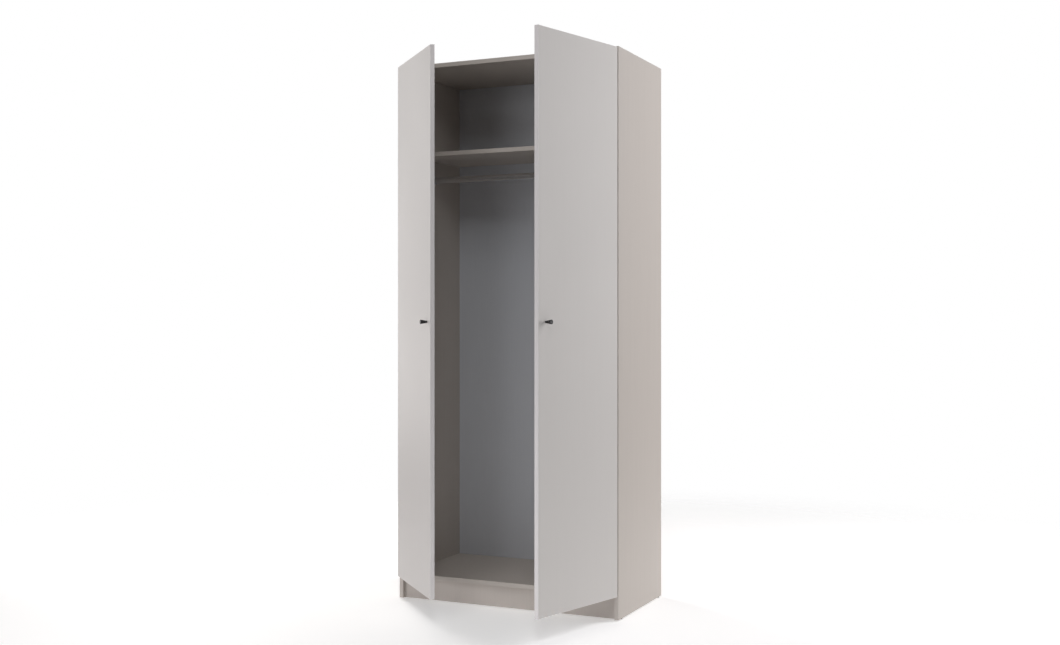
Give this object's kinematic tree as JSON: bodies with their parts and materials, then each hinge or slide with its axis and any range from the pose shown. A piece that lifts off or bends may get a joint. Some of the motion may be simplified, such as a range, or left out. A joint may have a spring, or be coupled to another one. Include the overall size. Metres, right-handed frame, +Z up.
{
  "type": "wardrobe with doors",
  "caption": "Tall free-standing wardrobe with two hinged doors standing open, an upper shelf and a round hanging rail inside, on a recessed plinth.",
  "frame": {"origin": "on the floor, in the middle of the carcass's footprint without the doors", "axes": "+X to the right seen from the front, +Y towards the back, +Z up; the doors open towards -Y"},
  "size_m": [0.9, 0.9023, 2.045],
  "materials": {
    "board_melamine": "greige melamine-faced chipboard with a faint upright wood grain, matt",
    "board_edging": "1 mm edge banding to match the boards",
    "door_face": "plain greige matt faced board",
    "door_edging": "1 mm edge banding, matt, softly rounded",
    "back_board": "3 mm hardboard with a printed light grey face",
    "light_plastic": "pale grey moulded plastic",
    "dark_plastic": "dark moulded plastic",
    "clear_bumper": "soft clear silicone",
    "zinc_fitting": "die-cast zinc, dull",
    "zinc_steel": "bright zinc-plated steel",
    "nickel_steel": "nickel-plated pressed steel",
    "bright_chrome": "bright chrome-plated steel tube",
    "black_metal": "black satin powder coat",
    "beech": "plain fluted beech dowel"
  },
  "bodies": {
    "carcass": {"side_panel_left": "board_melamine", "side_panel_right": "board_melamine", "side_band_left": "board_edging", "side_band_right": "board_edging", "top_panel": "board_melamine", "top_band": "board_edging", "bottom_panel": "board_melamine", "bottom_band": "board_edging", "shelf": "board_melamine", "shelf_band": "board_edging", "plinth_board": "board_melamine", "back_sheet_left": "back_board", "back_sheet_right": "back_board", "back_strip": "light_plastic", "back_nails": "zinc_steel", "cam_locks": "zinc_fitting", "cam_covers": "light_plastic", "cam_bolts": "zinc_steel", "dowels": "beech", "glides": "dark_plastic", "glide_nails": "zinc_steel", "hanging_rail": "bright_chrome", "rail_socket_left": "bright_chrome", "rail_socket_right": "bright_chrome", "rail_screws_left": "zinc_steel", "rail_screws_right": "zinc_steel", "hinge_arms_left": "nickel_steel", "hinge_arms_right": "nickel_steel", "hinge_plates_left": "nickel_steel", "hinge_plates_right": "nickel_steel", "plate_screws_left": "zinc_steel", "plate_screws_right": "zinc_steel", "arm_screws_left": "zinc_steel", "arm_screws_right": "zinc_steel"},
    "left_door": {"door_left": "door_face", "door_band_left": "door_edging", "knob_left": "black_metal", "knob_screw_left": "zinc_steel", "door_bumpers_left": "clear_bumper", "hinge_cups_left": "nickel_steel", "cup_screws_left": "zinc_steel", "hinge_pins_left": "nickel_steel"},
    "right_door": {"door_right": "door_face", "door_band_right": "door_edging", "knob_right": "black_metal", "knob_screw_right": "zinc_steel", "door_bumpers_right": "clear_bumper", "hinge_cups_right": "nickel_steel", "cup_screws_right": "zinc_steel", "hinge_pins_right": "nickel_steel"}
  },
  "joints": [
    {"name": "left_door_swing", "type": "hinge", "parent": "carcass", "child": "left_door", "pos_m": [-0.4405, -0.2439, 0.188], "axis": [0, 0, -1], "range_deg": [-44.5, 50.5]},
    {"name": "right_door_swing", "type": "hinge", "parent": "carcass", "child": "right_door", "pos_m": [0.4405, -0.2439, 0.188], "axis": [0, 0, 1], "range_deg": [-75.5, 19.5]}
  ]
}
